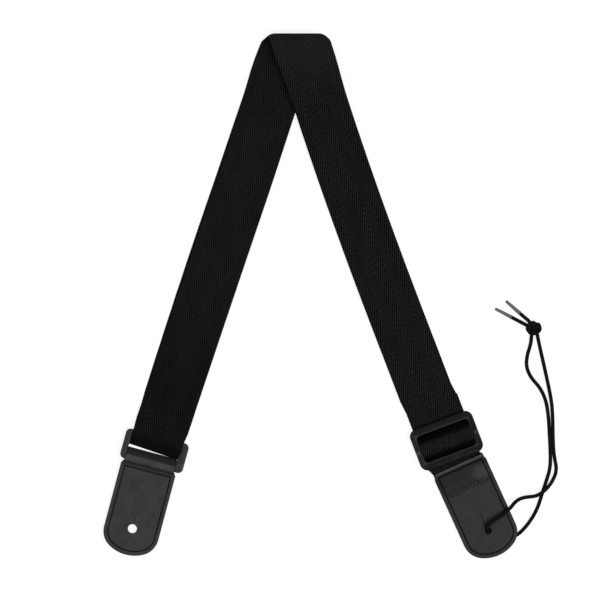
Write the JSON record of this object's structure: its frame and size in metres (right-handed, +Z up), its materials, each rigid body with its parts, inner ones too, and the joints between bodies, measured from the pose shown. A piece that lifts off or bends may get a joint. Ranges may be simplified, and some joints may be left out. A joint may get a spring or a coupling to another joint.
{
  "type": "guitar strap",
  "caption": "Woven webbing guitar strap laid doubled, with a tri-glide slider, a rectangular ring, two sewn leather end tabs with button holes and a headstock tie cord.",
  "frame": {"origin": "axis of the left tab's button hole, on the table the strap lies on", "axes": "+Z up from the table; +Y towards the strap's fold, +X towards the right leg"},
  "size_m": [0.4246, 0.4896, 0.0153],
  "materials": {
    "webbing": "black herringbone webbing, dull sheen",
    "leather": "soft grained charcoal leather",
    "board": "fibre board core",
    "thread": "black sewing thread",
    "plastic": "moulded black plastic, satin",
    "cord": "braided black cord",
    "aglet": "clear heat-shrunk sleeve over the cord end"
  },
  "bodies": {
    "left_leg": {"webbing_left_lower": "webbing", "webbing_left_upper": "webbing"},
    "ring_turn": {"webbing_ring_turn": "webbing"},
    "ring": {"left_ring": "plastic"},
    "left_tab": {"left_tab_leather": "leather", "left_tab_board": "board", "left_tab_stitching": "thread"},
    "fold": {"webbing_fold_outer": "webbing", "webbing_fold_inner": "webbing"},
    "right_leg": {"webbing_right_lower": "webbing", "webbing_right_upper": "webbing", "webbing_tab_lead": "webbing", "right_tab_face": "leather", "right_tab_back": "leather", "right_tab_board": "board", "right_tab_stitching": "thread", "tie_cord_front": "cord", "tie_cord_back": "cord", "tie_cord_knot": "cord", "tie_cord_tail_upper": "cord", "tie_cord_tail_lower": "cord", "aglet_upper": "aglet", "aglet_lower": "aglet"},
    "slider": {"slider_frame": "plastic", "webbing_over_bar": "webbing", "webbing_end_loop": "webbing"}
  },
  "joints": [
    {"name": "fold_lower", "type": "hinge", "parent": "left_leg", "child": "fold", "pos_m": [0.153, 0.4545, 0.00765], "axis": [-1, 0, 0], "range_deg": [0, 89], "deforming": ["webbing_fold_outer", "webbing_fold_inner"]},
    {"name": "fold_upper", "type": "hinge", "parent": "fold", "child": "right_leg", "pos_m": [0.153, 0.4545, 0.00765], "axis": [-1, 0, 0], "range_deg": [0, 89]},
    {"name": "slider_slide", "type": "slide", "parent": "right_leg", "child": "slider", "axis": [-0.3633, 0.9317, 0], "range_m": [0, 0.16], "deforming": ["webbing_over_bar", "webbing_end_loop", "webbing_right_lower"]},
    {"name": "ring_travel", "type": "slide", "parent": "left_leg", "child": "ring_turn", "axis": [-0.3206, -0.9472, 0], "range_m": [0, 0.08], "deforming": ["webbing_left_lower", "webbing_left_upper"]},
    {"name": "ring_swing", "type": "hinge", "parent": "ring_turn", "child": "ring", "pos_m": [0.024, 0.0846, 0.0036], "axis": [-0.9636, 0.2672, 0], "range_deg": [0, 90]},
    {"name": "left_tab_swing", "type": "hinge", "parent": "ring", "child": "left_tab", "pos_m": [0.01748, 0.06109, 0.0036], "axis": [-0.9636, 0.2672, 0], "range_deg": [0, 90]}
  ],
  "couplings": [
    {"joint": "fold_lower", "follows": "fold_upper", "ratio": 1},
    {"joint": "ring_travel", "follows": "slider_slide", "ratio": 0.5}
  ]
}
